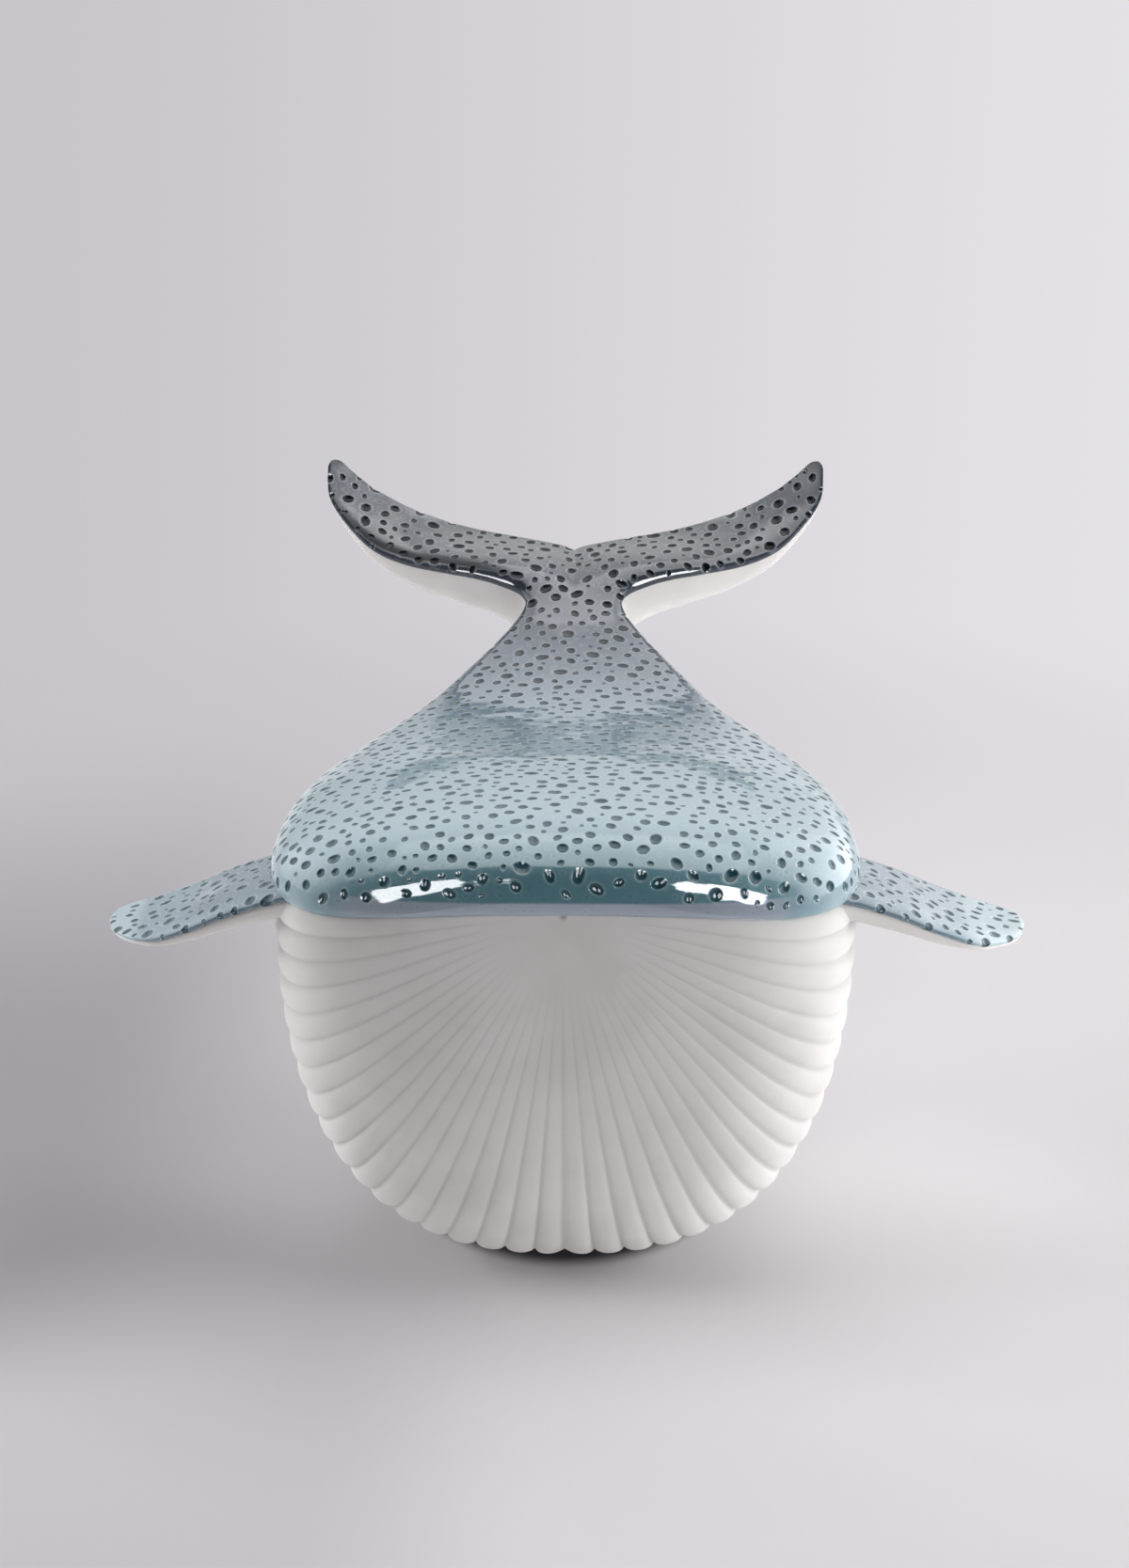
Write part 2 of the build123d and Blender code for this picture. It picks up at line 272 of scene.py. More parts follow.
def mirrored(mesh):
    # the other half, with the middle plane welded and left open inside
    bmesh.ops.remove_doubles(mesh, verts=mesh.verts, dist=weld)
    bmesh.ops.dissolve_degenerate(mesh, edges=mesh.edges, dist=weld / 10)
    inner = [face for face in mesh.faces if all(abs(vert.co.x) < 2 * weld for vert in face.verts)]
    bmesh.ops.delete(mesh, geom=inner, context="FACES_ONLY")
    for vert in mesh.verts:
        if abs(vert.co.x) < 2 * weld:
            vert.co.x = 0
    bmesh.ops.mirror(mesh, geom=mesh.verts[:] + mesh.edges[:] + mesh.faces[:],
                     matrix=Matrix.Identity(4), merge_dist=weld, axis="X")
    bmesh.ops.remove_doubles(mesh, verts=mesh.verts, dist=weld / 10)
    turnedOut(mesh)
    keepNormals(mesh)


def keepNormals(mesh):
    # smooth normals of the whole skin, before it is parted and pitted
    mesh.normal_update()
    layer = mesh.verts.layers.float_vector.new("skinNormal")
    for vert in mesh.verts:
        vert[layer] = vert.normal


def closed(mesh):
    # fills each open loop of edges with one face
    bmesh.ops.holes_fill(mesh, edges=[edge for edge in mesh.edges if edge.is_boundary], sides=0)


def parted(mesh, keep):
    # a copy with only the faces whose rows pass the test, closed where it was cut
    part = mesh.copy()
    rowLayer = part.verts.layers.int["row"]
    gone = [face for face in part.faces if not all(keep(vert[rowLayer]) for vert in face.verts)]
    bmesh.ops.delete(part, geom=gone, context="FACES")
    closed(part)
    return part


def placed(name, data):
    made = bpy.data.objects.new(name, data)
    bpy.context.scene.collection.objects.link(made)
    return made


def finished(mesh, name, node, finish, smooth=True):
    # makes the object, with the kept normals and its finish, puts it on the root body and hides its node's
    # imported part
    data = bpy.data.meshes.new(name)
    mesh.to_mesh(data)
    mesh.free()
    for polygon in data.polygons:
        polygon.use_smooth = smooth
    if "skinNormal" in data.attributes:
        normals = np.empty(len(data.vertices) * 3, dtype=np.float32)
        data.attributes["skinNormal"].data.foreach_get("vector", normals)
        data.normals_split_custom_set_from_vertices(normals.reshape(-1, 3).tolist())
        data.attributes.remove(data.attributes["skinNormal"])
    data.materials.append(finish)
    piece = placed(name, data)
    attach(piece, "root")
    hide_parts(node)
    print("piece", name, len(data.polygons), "faces")
    return piece


# dimples in the glaze, in mm
pits = {
    "seed": 20, "radii": [2.7, 2.2, 1.75, 1.25], "shares": [0.18, 0.32, 0.30, 0.20],
    "area": 50.0,        # square mm of glaze to each dimple
    "gap": 1.6, "tries": 60, "sizeSpread": (0.86, 1.14), "stretch": (1.0, 1.22),
    "depth": 0.27,       # as a share of the radius
    "wall": 1.5,         # more gives a rounder floor and a softer rim
    "tone": (0.8, 1.0), "smallTone": 0.6, "toneSize": 5.0,      # small dimples are paler
    "nearest": 5,        # how many dimples are tried as the owner of a face
}


def scattered(mesh, seed, chosen):
    # random dimples over the faces that pass the test, none nearer to another than the gap
    rng = random.Random(seed)
    faces = [face for face in mesh.faces if chosen(face)]
    areas = np.array([face.calc_area() for face in faces]) / mm ** 2
    total = areas.sum()
    count = int(total / pits["area"])
    cumulative = np.cumsum(areas)
    sizes = []
    for radius, share in zip(pits["radii"], pits["shares"]):
        sizes += [radius] * round(count * share)
    cell = 2 * pits["radii"][0] + pits["gap"] + 1
    cells, found = {}, []
    for radius in sizes:
        for _ in range(pits["tries"]):
            face = faces[min(int(np.searchsorted(cumulative, rng.random() * total)), len(faces) - 1)]
            spread = [rng.random() for _ in face.verts]
            place = sum((vert.co * k for vert, k in zip(face.verts, spread)), Vector()) / sum(spread) / mm
            size = radius * rng.uniform(*pits["sizeSpread"])
            key = tuple(int(c // cell) for c in place)
            near = [pit for a in (-1, 0, 1) for b in (-1, 0, 1) for c in (-1, 0, 1)
                    for pit in cells.get((key[0] + a, key[1] + b, key[2] + c), ())]
            if all((place - pit["place"]).length > size + pit["size"] + pits["gap"] for pit in near):
                normal = face.normal.copy()
                spin = Matrix.Rotation(rng.uniform(0, math.tau), 3, normal)
                across = spin @ normal.orthogonal().normalized()
                fullness = min(1.0, pits["smallTone"] + size / pits["toneSize"])
                pit = {"place": place, "size": size, "normal": normal, "across": across,
                       "along": normal.cross(across), "stretch": rng.uniform(*pits["stretch"]),
                       "tone": rng.uniform(*pits["tone"]) * fullness}
                cells.setdefault(key, []).append(pit)
                found.append(pit)
                break
    return found


def treeOf(places):
    tree = kdtree.KDTree(len(places))
    for i, place in enumerate(places):
        tree.insert(place, i)
    tree.balance()
    return tree


def press(mesh, found):
    # sinks the skin into each dimple
    verts = mesh.verts[:]
    tree = treeOf([vert.co for vert in verts])
    for pit in found:
        middle = pit["place"] * mm
        reach = pit["size"] * pit["stretch"] * mm
        depth = pits["depth"] * pit["size"] * mm
        for co, i, _ in tree.find_range(middle, reach):
            away = co - middle
            a = away.dot(pit["across"]) / reach
            b = away.dot(pit["along"]) / (pit["size"] / pit["stretch"] * mm)
            ring = min(1.0, math.hypot(a, b))
            verts[i].co -= pit["normal"] * (depth * (1 - ring * ring) ** pits["wall"])


def mapPits(data, found):
    # each face gets the place of its corners in the nearest dimple, in radii of it
    tree = treeOf([pit["place"] * mm for pit in found])
    keys = ("place", "across", "along", "size", "stretch", "tone")
    place, across, aside, size, stretch, tone = (np.array([pit[key] for pit in found]) for key in keys)
    place, size = place * mm, size * mm
    nearest = np.empty(len(data.polygons), dtype=np.int32)
    owner = np.empty(len(data.loops), dtype=np.int32)
    for polygon in data.polygons:
        best = min(tree.find_n(polygon.center, pits["nearest"]), key=lambda hit: hit[2] / size[hit[1]])
        nearest[polygon.index] = best[1]
        owner[polygon.loop_start:polygon.loop_start + polygon.loop_total] = best[1]
    corner = np.empty(len(data.loops), dtype=np.int32)
    data.loops.foreach_get("vertex_index", corner)
    co = np.empty(len(data.vertices) * 3, dtype=np.float32)
    data.vertices.foreach_get("co", co)
    away = co.reshape(-1, 3)[corner] - place[owner]
    u = (away * across[owner]).sum(axis=1) / (size * stretch)[owner]
    v = (away * aside[owner]).sum(axis=1) / (size / stretch)[owner]
    layer = data.uv_layers.new(name="dimple")
    layer.data.foreach_set("uv", np.stack([u, v], axis=1).astype(np.float32).ravel())
    for name, values in (("dimpleTone", tone), ("dimpleSize", size)):
        layer = data.attributes.new(name, "FLOAT", "FACE")
        layer.data.foreach_set("value", values[nearest].astype(np.float32))


# glazes and biscuit
class Value:
    # a number on a surface: an expression on values adds its Math nodes
    def __init__(self, sheet, socket):
        self.sheet, self.socket = sheet, socket

    def __add__(self, other):
        return self.sheet.math("ADD", self, other)

    def __sub__(self, other):
        return self.sheet.math("SUBTRACT", self, other)

    def __rsub__(self, other):
        return self.sheet.math("SUBTRACT", other, self)

    def __mul__(self, other):
        return self.sheet.math("MULTIPLY", self, other)

    def __truediv__(self, other):
        return self.sheet.math("DIVIDE", self, other)

    def __rtruediv__(self, other):
        return self.sheet.math("DIVIDE", other, self)

    def __pow__(self, other):
        return self.sheet.math("POWER", self, other)

    __radd__ = __add__
    __rmul__ = __mul__


class Sheet:
    # a material or world and its nodes
    def __init__(self, owner):
        owner.use_nodes = True
        self.tree = owner.node_tree
        self.tree.nodes.clear()

    def node(self, kind, settings=None, sockets=None):
        node = self.tree.nodes.new(kind)
        for key, value in (settings or {}).items():
            if key == "stops":
                ends = node.color_ramp.elements
                ends[0].position, ends[0].color = value[0]
                ends[1].position, ends[1].color = value[-1]
                for place, tone in value[1:-1]:
                    ends.new(place).color = tone
            else:
                setattr(node, key, value)
        for key, value in (sockets or {}).items():
            if isinstance(value, Value):
                value = value.socket
            if isinstance(value, bpy.types.NodeSocket):
                self.tree.links.new(value, node.inputs[key])
            else:
                node.inputs[key].default_value = value
        return node

    def math(self, operation, a, b=0.0, c=0.0):
        settings = {"operation": operation}
        return Value(self, self.node("ShaderNodeMath", settings, {0: a, 1: b, 2: c}).outputs[0])

    def vectorMath(self, operation, a, b=(0, 0, 0)):
        settings = {"operation": operation}
        return Value(self, self.node("ShaderNodeVectorMath", settings, {0: a, 1: b}).outputs["Value"])

    def ease(self, value, low, high, start=0.0, end=1.0):
        settings = {"interpolation_type": "SMOOTHSTEP"}
        made = self.node("ShaderNodeMapRange", settings,
                         {"Value": value, "From Min": low, "From Max": high, "To Min": start, "To Max": end})
        return Value(self, made.outputs["Result"])

    def mix(self, factor, a, b):
        return self.node("ShaderNodeMix", {"data_type": "RGBA"}, {0: factor, 6: a, 7: b}).outputs[2]

    def blend(self, factor, a, b):
        sockets = {0: factor, 1: a.outputs[0], 2: b.outputs[0]}
        return self.node("ShaderNodeMixShader", {}, sockets)

    def noise(self, vector, scale, detail):
        made = self.node("ShaderNodeTexNoise", {}, {"Vector": vector, "Scale": scale, "Detail": detail})
        return Value(self, made.outputs["Fac"])

    def place(self, output="Object"):
        # the coordinates, whole and apart
        spot = self.node("ShaderNodeTexCoord").outputs[output]
        axes = self.node("ShaderNodeSeparateXYZ", {}, {0: spot})
        return [spot] + [Value(self, axes.outputs[axis]) for axis in "XYZ"]

    def attribute(self, name):
        return Value(self, self.node("ShaderNodeAttribute", {"attribute_name": name}).outputs["Fac"])

    def seenBy(self, ray):
        return Value(self, self.node("ShaderNodeLightPath").outputs[ray])

    def relief(self, height):
        sockets = {"Strength": 1.0, "Distance": 1.0, "Height": height}
        return self.node("ShaderNodeBump", {}, sockets).outputs["Normal"]

    def surface(self, shader, kind="Material"):
        self.node("ShaderNodeOutput" + kind, {}, {"Surface": shader.outputs[0]})


def material(name):
    made = bpy.data.materials.new(name)
    return made, Sheet(made)


def colour(red, green, blue):
    # display values of 0 to 255 as linear light
    def linear(c):
        c /= 255
        return c / 12.92 if c <= 0.04045 else ((c + 0.055) / 1.055) ** 2.4
    return (linear(red), linear(green), linear(blue), 1)


# what all the glaze has in common: a pair is where a finish starts and where it is full, in metres,
# in radii of a dimple or in pinhole cells; left and right are the whale's own, +X and -X
glazing = {
    "roughness": 0.06, "poolRoughness": 0.08, "ior": 1.5,
    "blotches": 38, "swells": 70, "swellHeight": 0.0004,
    "lipBelow": (0.1650, 0.1638), "lipAhead": (-0.168, -0.176), "lipThinAndLitShare": 0.8,     # thin glaze and painted bounce light on the turned lip
    "rootFade": (0.148, 0.132), "rootShare": 0.5,                                    # darker next to the body
    # painted light on the flippers' tips, lighter where light falls on them
    "leftTipLight": (0.147, 0.160), "leftTipLightShare": 0.7, "rightTipLight": (-0.160, -0.168), "rightTipLightShare": 0.5,
    "edgeDarkReflectionShare": 0.9, "edgeDarkReflectionSides": (0.02, -0.02, 0.25, 1.0),     # painted dark reflection on the leading edge, mainly the right one
    "tailFade": (-0.03, 0.085), "tailPool": colour(8, 13, 17),   # dimples turn black towards the tail
    "poolRim": (0.94, 0.74), "thinOutside": (0.9, 1.04), "thinInside": (1.42, 1.08),
    "bowl": 0.34, "bowlPower": 1.15,
    "pinholes": 260, "pinhole": (0.22, 0.12), "haloOutside": (0.22, 0.32), "haloInside": (0.46, 0.36),
    "haloBlotches": (0.35, 0.6),
}


def glazeMaterial(name, glaze):
    made, sheet = material(name)
    spot, x, y, z = sheet.place()
    blotch = sheet.noise(spot, glazing["blotches"], 3)
    stops = glaze["stops"]
    low, high = stops[0][0], stops[-1][0]
    place = (y - low + (blotch - 0.5) * glaze["drift"]) / (high - low)
    ramp = sheet.node("ShaderNodeValToRGB",
                      {"stops": [((at - low) / (high - low), colour(*tone)) for at, tone in stops]},
                      {"Fac": place})
    base = ramp.outputs["Color"]
    if "lip" in glaze:
        # the turned lip is paler: thin glaze there, and painted bounce light from the floor below
        turned = sheet.ease(z, *glazing["lipBelow"]) * sheet.ease(y, *glazing["lipAhead"])
        base = sheet.mix(turned * glazing["lipThinAndLitShare"], base, glaze["lip"])
    if "root" in glaze:
        root = sheet.ease(sheet.math("ABSOLUTE", x), *glazing["rootFade"])
        base = sheet.mix(root * glazing["rootShare"], base, glaze["root"])
        # painted light: the flipper tips are lighter where light falls on them
        leftTipLight = sheet.ease(x, *glazing["leftTipLight"]) * glazing["leftTipLightShare"]
        rightTipLight = sheet.ease(x, *glazing["rightTipLight"]) * glazing["rightTipLightShare"]
        base = sheet.mix(sheet.math("MAXIMUM", leftTipLight, rightTipLight), base, glaze["bareAndLitTip"])

    dimple = sheet.node("ShaderNodeUVMap", {"uv_map": "dimple"}).outputs["UV"]
    ring = sheet.vectorMath("LENGTH", dimple)
    tone = sheet.attribute("dimpleTone")
    pool = sheet.ease(ring, *glazing["poolRim"]) * tone
    cells = sheet.node("ShaderNodeTexVoronoi", {}, {"Vector": spot, "Scale": glazing["pinholes"]})
    hole = Value(sheet, cells.outputs["Distance"])
    halo = sheet.ease(hole, *glazing["haloOutside"]) * sheet.ease(hole, *glazing["haloInside"])
    halo = halo * sheet.ease(blotch, *glazing["haloBlotches"])
    base = sheet.mix(halo * glaze["pinholeRim"] * (1 - pool), base, glaze["bareAndLitTip"])
    base = sheet.mix(sheet.ease(hole, *glazing["pinhole"]) * glaze["pinholeRim"], base, glaze["pool"])
    thin = sheet.ease(ring, *glazing["thinOutside"]) * sheet.ease(ring, *glazing["thinInside"])
    base = sheet.mix(thin * tone * glaze["thin"], base, glaze["bareAndLitTip"])

    inside = 1 - sheet.math("MINIMUM", ring, 1.0) ** 2
    bowl = inside ** glazing["bowlPower"] * sheet.attribute("dimpleSize") * -glazing["bowl"]
    swell = (sheet.noise(spot, glazing["swells"], 1) - 0.5) * glazing["swellHeight"]
    relief = sheet.relief(bowl + swell)
    smooth = sheet.node("ShaderNodeBsdfPrincipled", {}, {
        "Base Color": base, "Roughness": glazing["roughness"], "IOR": glazing["ior"], "Normal": relief})
    poolTone = sheet.mix(sheet.ease(y, *glazing["tailFade"]), glaze["pool"], glazing["tailPool"])
    pooled = sheet.node("ShaderNodeBsdfPrincipled", {}, {
        "Base Color": poolTone, "Roughness": glazing["poolRoughness"], "IOR": glazing["ior"],
        "Specular IOR Level": glaze["poolShine"], "Normal": relief})
    # painted dark reflection behind the flukes' leading edge, mixed in as the darker pooled glaze
    edge = sheet.attribute("groove") * sheet.ease(x, *glazing["edgeDarkReflectionSides"]) * glazing["edgeDarkReflectionShare"]
    sheet.surface(sheet.blend(sheet.math("MAXIMUM", pool, edge), smooth, pooled))
    return made


def biscuitMaterial(name, look):
    made, sheet = material(name)
    spot = sheet.place()[0]
    cloud = sheet.ease(sheet.noise(spot, *look["clouds"]), *look["cloudFade"])
    base = sheet.mix(cloud, look["light"], look["shade"])
    # painted shade: darker in the grooves between the ribs and in the lines under the flukes
    base = sheet.mix(sheet.attribute("groove") * look["paintedShadeShare"], base, look["paintedShadeTone"])
    grain = sheet.noise(spot, *look["fineGrain"]) * look["fineHeight"]
    grain = grain + sheet.noise(spot, *look["coarseGrain"]) * look["coarseHeight"]
    shader = sheet.node("ShaderNodeBsdfPrincipled", {}, {
        "Base Color": base, "Roughness": look["roughness"], "IOR": look["ior"],
        "Specular IOR Level": look["shine"], "Normal": sheet.relief(grain)})
    sheet.surface(shader)
    return made


# tones along the length, from a place in metres
bodyGlaze = {
    # the darker stops at the lip's front are painted shade for its dark band; the pale stop at -0.16 is
    # partly painted sheen
    "stops": [(-0.181, (92, 133, 144)), (-0.174, (108, 143, 153)), (-0.16, (154, 177, 186)),
              (-0.05, (131, 155, 165)), (0.02, (116, 136, 148)), (0.074, (88, 98, 111)),
              (0.112, (55, 62, 73))],
    "drift": 0.006, "lip": colour(172, 178, 192), "pool": colour(34, 72, 82), "bareAndLitTip": colour(190, 210, 215),
    "thin": 0.14, "poolShine": 0.2, "pinholeRim": 0.10,
}
tailGlaze = {
    "stops": [(0.10, (55, 62, 73)), (0.14, (51, 57, 67)), (0.181, (50, 56, 65))],
    "drift": 0.02, "pool": glazing["tailPool"], "bareAndLitTip": colour(150, 162, 174),
    "thin": 0.25, "poolShine": 0.06, "pinholeRim": 0.2,
}
flipperGlaze = {
    "stops": [(-0.16, (121, 143, 155)), (-0.05, (123, 145, 157))],
    "drift": 0.02, "root": colour(80, 100, 112), "pool": colour(34, 66, 76), "bareAndLitTip": colour(190, 210, 215),
    "thin": 0.2, "poolShine": 0.2, "pinholeRim": 0.12,
}
whiteBiscuit = {
    "light": colour(226, 224, 222), "shade": colour(218, 215, 212),
    "clouds": (30, 3), "cloudFade": (0.35, 0.7),
    "paintedShadeTone": colour(140, 136, 133), "paintedShadeShare": 0.22,       # painted shade in the rib grooves and the lines under the flukes
    "fineGrain": (2600, 2), "fineHeight": 0.00003, "coarseGrain": (500, 2), "coarseHeight": 0.00004,
    "roughness": 0.62, "ior": 1.45, "shine": 0.12,
}

glazedBody = glazeMaterial("glazedBody", bodyGlaze)
glazedTail = glazeMaterial("glazedTail", tailGlaze)
glazedFlipper = glazeMaterial("glazedFlipper", flipperGlaze)
biscuit = biscuitMaterial("biscuit", whiteBiscuit)
print("materials: three glazes and the biscuit")


# glazed back and flukes, one skin that is parted at the tail joint
top = {
    "rows": 300, "rowPower": 4, "bladeRows": 100, "columns": 112, "rimColumns": 7, "flatColumns": 3,
    "spreadHalf": 110, "spreadRise": 24,       # the arch along which the columns are evenly spaced
    "joinReach": 5, "joinRounds": 16, "tip": 3.4, "tipSteps": 12, "tipReach": 3, "tipRounds": 5,
    "plainTipRows": 14, "steepestBack": 0.02, "steepestFluke": 0.4,      # no dimples past these
    "darkFrom": 0.018, "darkTo": 0.18, "shadowFade": 0.1, "darkTipFade": 4,      # painted dark reflection behind the leading edge
}

crownAngles = evenAngles(top["spreadHalf"], top["spreadRise"], body["backRoundness"], top["columns"])
rimAngles = np.linspace(math.pi / 2, 0, top["rimColumns"])[:-1]
flatShares = np.linspace(0, 1, top["flatColumns"] + 1)[:-1]


def backSection(y):
    y = np.atleast_1d(y)[:, None]
    half = halfWidth(y) * rounding(y, body["noseReach"], body["noseSquareness"])
    rise = (backHeight(y) - rim["height"]) * rounding(y, body["crownReach"], body["crownSquareness"])
    turned = rounding(y, rim["turnReach"], 2)
    widest = seamHeight(y) + rim["height"]
    across, lift = oval(crownAngles, body["backRoundness"])
    flat = stack((half - rim["inset"] * turned) * flatShares, y, widest - rim["height"] * turned)
    edge = stack(half - rim["inset"] * turned * (1 - np.cos(rimAngles)), y,
                 widest - rim["height"] * turned * np.sin(rimAngles))
    crown = stack(half * across, y, widest + rise * lift)
    return np.concatenate([flat, edge, crown, crown[:, -1:]], axis=1)


def flukeTopSection(share):
    share = np.atleast_1d(share)
    lead, run, clip = (a[:, None] for a in bladeFrame(share))
    chord = np.linalg.norm(run, axis=-1, keepdims=True)
    way = run / chord
    height = bladeColumn("rim", share, rim["height"])
    inset = bladeColumn("rim", share, rim["inset"])[..., None]
    depth = bladeColumn("top", share, backHeight(np.float64(body["length"])))
    wing = bladeColumn("wing", share)
    edge = flukes["edge"] * np.minimum(1, 2 * bladeColumn("rim", share))
    across, _ = oval(crownAngles, body["backRoundness"])
    skin = (1 - across) * clip
    lift = height * (1 - wing * skin) + skinLift(skin, wing, depth - height, edge, body["backRoundness"])
    crown = lead + skin[..., None] * run + lift[..., None] * up
    corner = lead + clip[..., None] * run
    base = lead + inset * way
    flat = corner + (base - corner) * flatShares[:, None]
    return np.concatenate([flat, turnedRim(lead, way, inset, height, rimAngles), crown, corner], axis=1)


def leadingDarkReflection(share):
    # how much painted dark reflection lies behind the leading edge, up to 1
    clip = bladeFrame(share)[2][:, None]
    across, _ = oval(crownAngles, body["backRoundness"])
    place = (1 - across) * clip
    dark = np.clip((top["darkTo"] - place) / top["shadowFade"], 0, 1)
    begun = np.clip(place / top["darkFrom"] - 1, 0, 1)
    tip = np.clip((1 - share[:, None]) * top["darkTipFade"], 0, 1)
    return dark * dark * (3 - 2 * dark) * begun * bladeColumn("wing", share) * tip


def makeTop():
    bodyRows, bodyLength = evenRows(backSection, 0, body["length"], top["rows"], top["rowPower"])
    bladeRows, bladeLength = evenRows(flukeTopSection, 0, 1, top["bladeRows"])
    print("back outline", round(bodyLength), "mm, fluke", round(bladeLength), "mm")
    points = joined(backSection(bodyRows), flukeTopSection(bladeRows), top)
    joinRow = len(bodyRows)
    plainRow = len(points) - top["plainTipRows"]
    edgeDarkReflection = np.zeros(points.shape[:2])
    crownColumn = len(flatShares) + len(rimAngles)
    edgeDarkReflection[joinRow:joinRow + len(bladeRows), crownColumn:-1] = leadingDarkReflection(bladeRows)
    skin = gridMesh(points, "glazed top", edgeDarkReflection)
    mirrored(skin)
    rowLayer = skin.verts.layers.int["row"]

    def dimpled(face):
        row = face.verts[0][rowLayer]
        return row < plainRow and face.normal.z > top["steepestBack" if row < joinRow else "steepestFluke"]

    found = scattered(skin, pits["seed"], dimpled)
    press(skin, found)
    print("dimples on the back and flukes:", len(found))
    back = finished(parted(skin, lambda row: row <= joinRow),
                    "glazedBack", "back_shell", glazedBody)
    tail = finished(parted(skin, lambda row: row >= joinRow),
                    "glazedFlukes", "flukes_top", glazedTail)
    skin.free()
    mapPits(back.data, found)
    mapPits(tail.data, found)


makeTop()

# ribbed belly and the flukes' underside, one skin that is parted at the same joint
ribs = {
    "count": 36, "depth": 2.3, "setback": 2.6, "inset": 0.8,
    "crest": 2.4, "fullness": 1.25,          # 2 and 2 make an even arc, a higher crest a flatter top
    "narrowing": 0.7,                        # how fast they get lower where the pouch is narrow
    "smoothFrom": 0.14, "smoothTo": 0.42,    # the ribs rise out of the chin between these shares of the width
}

pouch = {
    "rows": 190, "rowPower": 4, "bladeRows": 90, "ribColumns": 10, "flatColumns": 3,
    "joinReach": 5, "joinRounds": 12, "tip": 3.2, "tipSteps": 12, "tipReach": 3, "tipRounds": 5,
    "lines": 7, "lineDepth": 0.5, "lineShade": 2.0, "lineWidth": 0.6,     # fine lines under the flukes, and the painted shade in them
    "lineFade": 6, "lineTipFade": 8,
}


def pouchHalf(y):
    return halfWidth(y) - ribs["depth"] - ribs["inset"]


def pouchDepth(y):
    return bellyDepth(y) - ribs["depth"]


def ribAngles():
    # angles of the grooves and between them, and how far each stands out
    grooves = evenAngles(pouchHalf(0.0), pouchDepth(0.0), body["bellyRoundness"], ribs["count"] // 2 + 1)
    angles, out = [], []
    for start, end in zip(grooves[:-1], grooves[1:]):
        for step in range(pouch["ribColumns"]):
            place = step / pouch["ribColumns"]
            angles.append(start + (end - start) * place)
            out.append((1 - abs(2 * place - 1) ** ribs["crest"]) ** (1 / ribs["fullness"]))
    return np.array(angles + [grooves[-1]]), np.array(out + [0.0])


pouchAngles, ribOut = ribAngles()
pouchFlat = np.linspace(0, 1, pouch["flatColumns"] + 1)[:-1]


def chinGrowth(y):
    return rounding(y - ribs["setback"], body["noseReach"] - ribs["setback"], body["noseSquareness"])


def chinFade(y):
    # the ribs rise out of the smooth chin
    fade = np.clip((chinGrowth(y) - ribs["smoothFrom"]) / (ribs["smoothTo"] - ribs["smoothFrom"]), 0, 1)
    return fade * fade * (3 - 2 * fade)


def bellySection(y):
    y = np.atleast_1d(y)[:, None]
    grown = chinGrowth(y)
    half = pouchHalf(y) * grown
    depth = pouchDepth(y) * grown
    seam = seamHeight(y)
    ridge = ribs["depth"] * (half / pouchHalf(0.0)) ** ribs["narrowing"] * chinFade(y)
    across, down = oval(pouchAngles, body["bellyRoundness"])
    out = ridge * ribOut
    curve = stack(half * across + out * np.cos(pouchAngles), y,
                  seam - depth * down - out * np.sin(pouchAngles))
    flat = stack(half * pouchFlat, y, seam)
    return np.concatenate([flat, curve, curve[:, -1:]], axis=1)


def underFrame(share):
    # start of the underside behind the glazed rim, its run, clip and shares of the chord
    lead, run, clip = (a[:, None] for a in bladeFrame(share))
    chord = np.linalg.norm(run, axis=-1, keepdims=True)
    base = lead + bladeColumn("rim", share, rim["inset"])[..., None] * run / chord
    far = lead + run
    run = far - base
    clip = np.where(far[..., 0] < 0, base[..., 0] / np.maximum(-run[..., 0], 1e-9), 1.0)
    across, _ = oval(pouchAngles, body["bellyRoundness"])
    return base, run, clip, (1 - across) * clip


def underLines(share):
    # how deep the fine lines along the underside are cut, up to 1
    skin = underFrame(share)[3]
    line = 1 - np.abs(np.sin(math.pi * pouch["lines"] * skin)) ** pouch["lineWidth"]
    edges = np.clip(skin * pouch["lineFade"], 0, 1) * np.clip((1 - skin) * pouch["lineFade"], 0, 1)
    mask = bladeColumn("wing", share) * edges
    return line * mask * np.clip((1 - share[:, None]) * pouch["lineTipFade"], 0, 1)


def flukeUnderSection(share):
    share = np.atleast_1d(share)
    base, run, clip, skin = underFrame(share)
    depth = bladeColumn("under", share, bellyDepth(np.float64(body["length"])))
    wing = bladeColumn("wing", share)
    edge = flukes["edge"] * np.minimum(1, 2 * bladeColumn("rim", share))
    lift = skinLift(skin, wing, depth, edge, body["bellyRoundness"]) - pouch["lineDepth"] * underLines(share)
    curve = base + skin[..., None] * run - lift[..., None] * up
    corner = base + clip[..., None] * run
    flat = corner + (base - corner) * pouchFlat[:, None]
    return np.concatenate([flat, curve, corner], axis=1)


def makePouch():
    bellyRows, _ = evenRows(bellySection, ribs["setback"], body["length"], pouch["rows"], pouch["rowPower"])
    underRows, _ = evenRows(flukeUnderSection, 0, 1, pouch["bladeRows"])
    points = joined(bellySection(bellyRows), flukeUnderSection(underRows), pouch)
    joinRow = len(bellyRows)
    # painted shade in the grooves between the ribs and in the fine lines under the flukes
    grooves = np.zeros(points.shape[:2])
    ribColumns = slice(len(pouchFlat), -1)
    grooves[:joinRow, ribColumns] = (1 - ribOut) ** 2 * chinFade(bellyRows)[:, None]
    grooves[:joinRow, -1] = grooves[:joinRow, -2]
    grooves[joinRow:joinRow + len(underRows), ribColumns] = underLines(underRows) * pouch["lineShade"]
    skin = gridMesh(points, "biscuit under", grooves)
    mirrored(skin)
    finished(parted(skin, lambda row: row <= joinRow),
             "ribbedBelly", "belly_shell", biscuit)
    finished(parted(skin, lambda row: row >= joinRow),
             "biscuitFlukes", "flukes_under", biscuit)
    skin.free()


makePouch()

